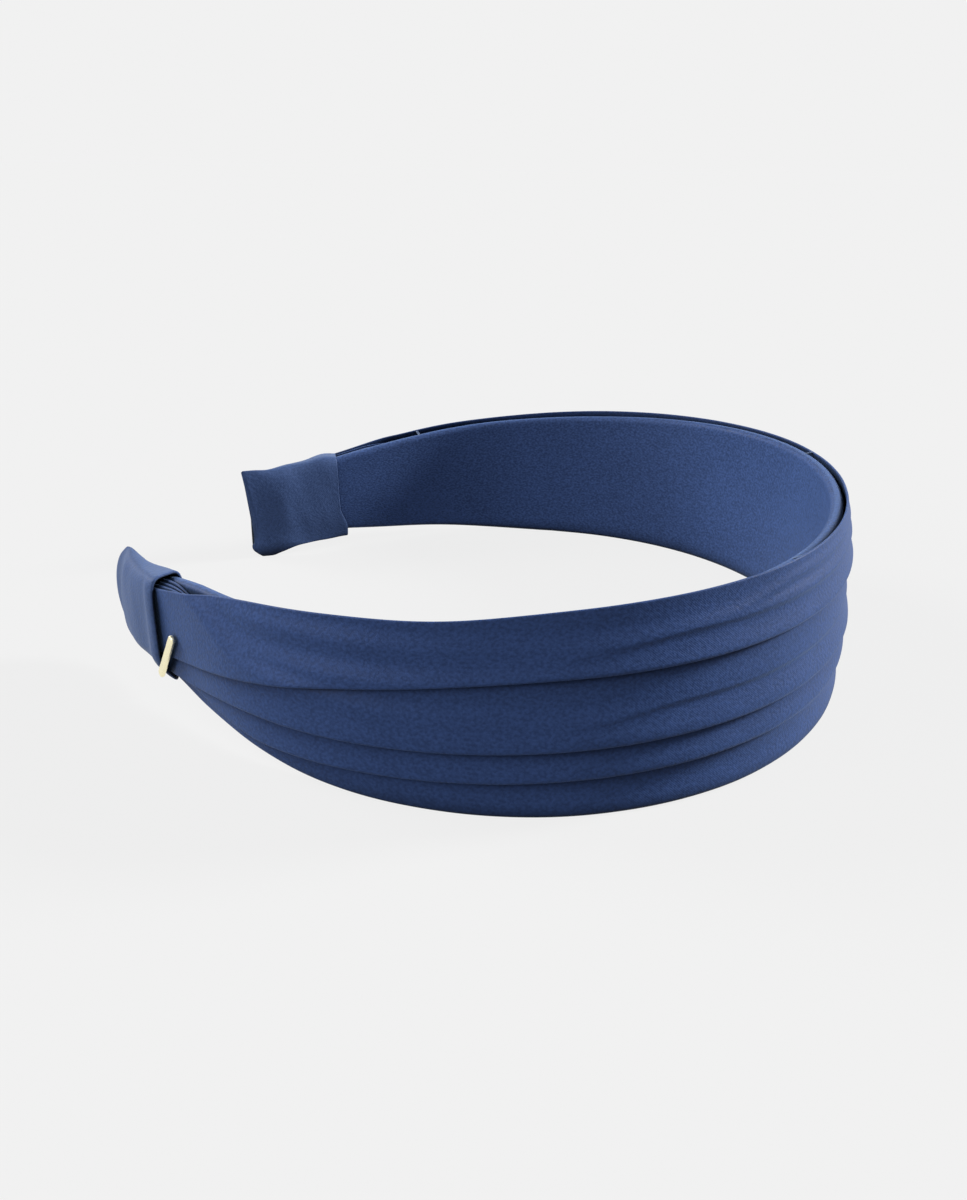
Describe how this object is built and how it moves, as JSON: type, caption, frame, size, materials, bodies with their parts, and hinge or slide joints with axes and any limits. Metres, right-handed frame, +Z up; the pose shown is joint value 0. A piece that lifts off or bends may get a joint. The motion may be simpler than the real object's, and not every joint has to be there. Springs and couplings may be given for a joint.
{
  "type": "pleated headband",
  "caption": "wide springy hair hoop covered in dark blue satin, its outer face laid in long pleats that gather into sewn end sleeves, with a small bare metal bar at one end",
  "frame": {"origin": "middle of the headband's outline on the surface that it lies on", "axes": "+Z up from the lower long edge that the band lies on, +X towards the crown of the hoop, -Y towards the arm with the metal tag"},
  "size_m": [0.1402, 0.1526, 0.0362],
  "materials": {
    "core_plastic": "dark moulded plastic, hidden",
    "lining_satin": "navy satin lining",
    "navy_satin": "navy satin with a soft sheen",
    "gold_metal": "pale gold plating"
  },
  "bodies": {
    "root": {"band_core": "core_plastic", "inner_lining": "lining_satin", "pleat_strip_top": "navy_satin", "pleat_strip_upper": "navy_satin", "pleat_strip_lower": "navy_satin", "pleat_strip_bottom": "navy_satin", "end_sleeve_tagged": "navy_satin", "end_sleeve_plain": "navy_satin", "metal_tag": "gold_metal"}
  },
  "joints": []
}
